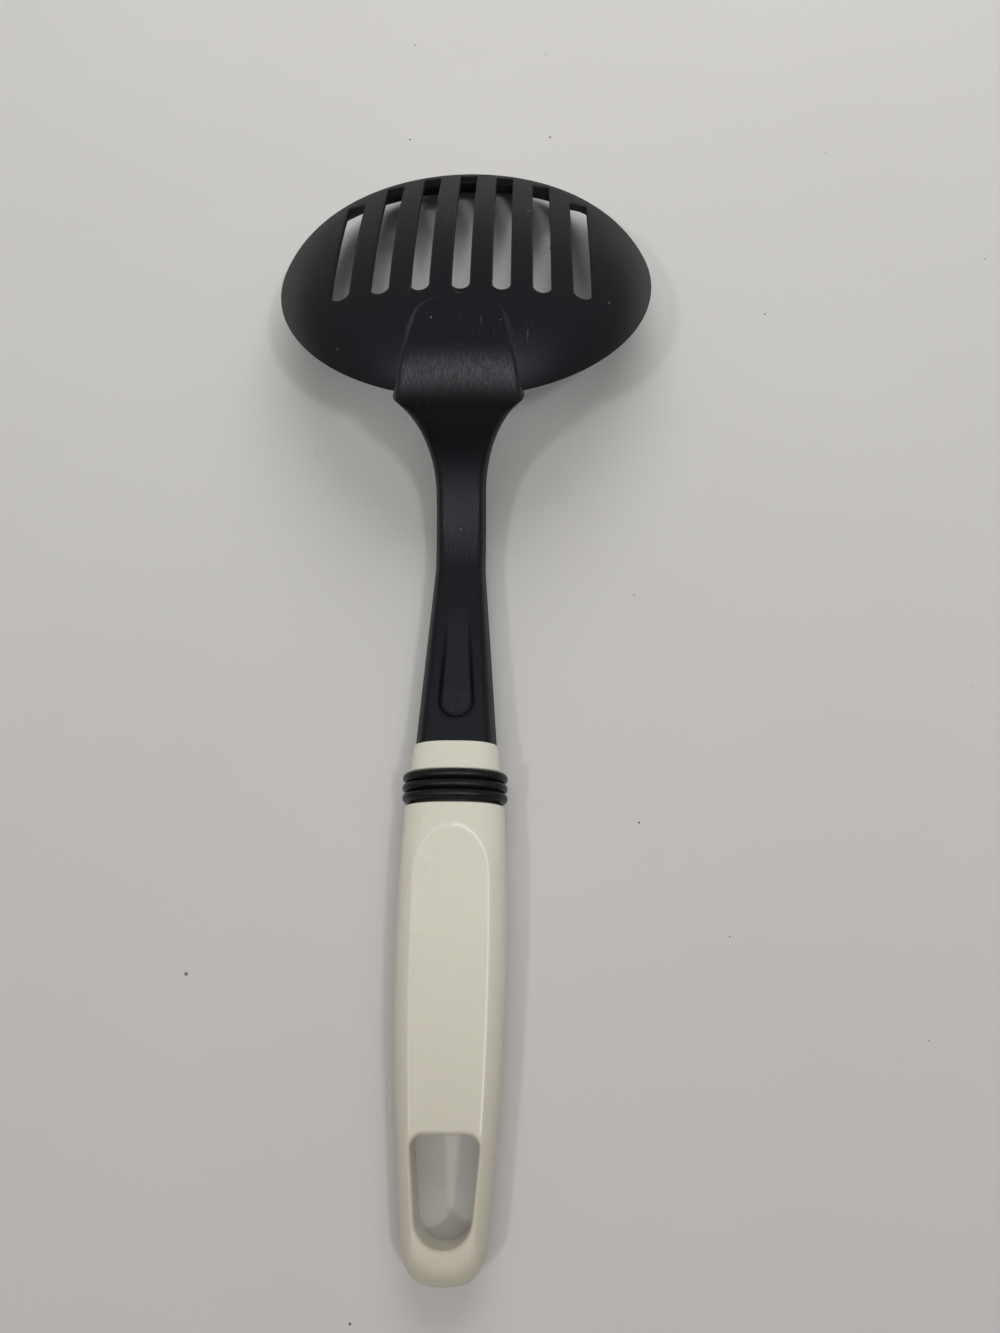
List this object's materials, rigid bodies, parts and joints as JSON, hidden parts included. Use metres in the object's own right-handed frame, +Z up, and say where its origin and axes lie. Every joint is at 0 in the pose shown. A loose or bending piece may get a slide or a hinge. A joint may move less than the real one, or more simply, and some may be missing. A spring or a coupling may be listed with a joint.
{
  "type": "slotted spoon",
  "caption": "Slotted serving spoon with a round shallow bowl on a bent neck, a moulded handle with a hanging hole, and rubber rings at the handle's collar.",
  "frame": {"origin": "middle of the bounding box, on the table that the spoon lies on face down", "axes": "+Y from the handle to the bowl, +Z up from the table through the back of the bowl, +X to the right seen from above with the bowl ahead"},
  "size_m": [0.1144, 0.3276, 0.0432],
  "materials": {
    "nylon": "satin moulded nylon, near black",
    "handle_plastic": "satin moulded plastic, cream white",
    "ring_rubber": "black rubber with a fine rough skin"
  },
  "bodies": {
    "root": {"head": "nylon", "handle": "handle_plastic", "ring_front": "ring_rubber", "ring_middle": "ring_rubber", "ring_rear": "ring_rubber"}
  },
  "joints": []
}
